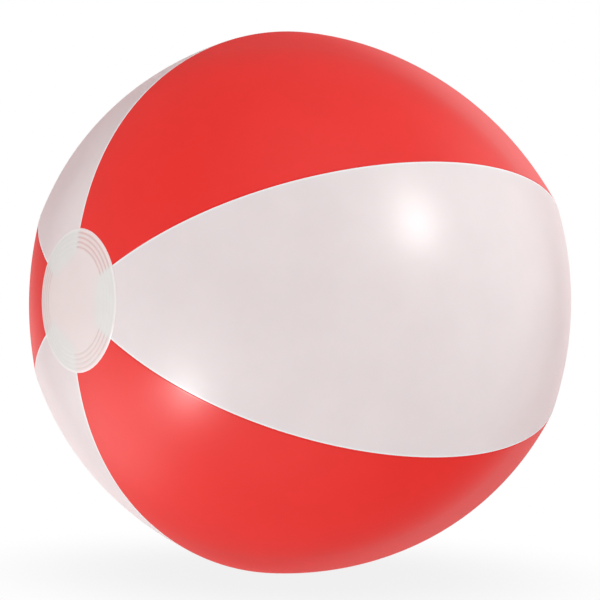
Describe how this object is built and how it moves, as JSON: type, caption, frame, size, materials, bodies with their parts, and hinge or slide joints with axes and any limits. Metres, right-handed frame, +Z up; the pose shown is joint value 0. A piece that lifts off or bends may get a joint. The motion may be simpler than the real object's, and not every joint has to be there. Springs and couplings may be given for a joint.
{
  "type": "inflatable beach ball",
  "caption": "Inflated beach ball of alternating red and translucent white film gores, with ribbed round end discs and a push-in air valve with a tethered plug.",
  "frame": {"origin": "centre of the inflated ball", "axes": "X through the centres of both end discs, the disc seen from the front left at -X; -Y through the middle of the front white gore; +Z up, through the top seam"},
  "size_m": [0.272, 0.2722, 0.28],
  "materials": {
    "white_film": "milky translucent gloss PVC film",
    "red_film": "nearly opaque gloss PVC film",
    "disc_film": "milky translucent gloss PVC film with weld ribs",
    "valve_vinyl": "soft moulded clear-white PVC",
    "valve_film": "thin clear PVC film"
  },
  "bodies": {
    "ball": {"white_gore_front": "white_film", "red_gore_upper_front": "red_film", "white_gore_upper_back": "white_film", "red_gore_back": "red_film", "white_gore_lower_back": "white_film", "red_gore_lower_front": "red_film", "end_disc_left": "disc_film", "end_disc_right": "disc_film", "valve_flange": "valve_vinyl", "valve_boot": "valve_vinyl"},
    "stem": {"valve_stem": "valve_vinyl", "plug_tether": "valve_vinyl"},
    "plug": {"valve_plug": "valve_vinyl"},
    "flap": {"check_flap": "valve_film"}
  },
  "joints": [
    {"name": "stem_slide", "type": "slide", "parent": "ball", "child": "stem", "axis": [0.8622, 0.2533, 0.4387], "range_m": [0, 0.018], "deforming": ["valve_boot"]},
    {"name": "plug_hinge", "type": "hinge", "parent": "stem", "child": "plug", "pos_m": [0.11332, 0.04175, 0.07231], "axis": [0, -0.866, 0.5], "range_deg": [0, 155], "deforming": ["plug_tether"]},
    {"name": "flap_hinge", "type": "hinge", "parent": "stem", "child": "flap", "pos_m": [0.11097, 0.03294, 0.05705], "axis": [0, -0.866, 0.5], "range_deg": [0, 55], "stiffness_Nm_per_rad": 0.0001}
  ]
}
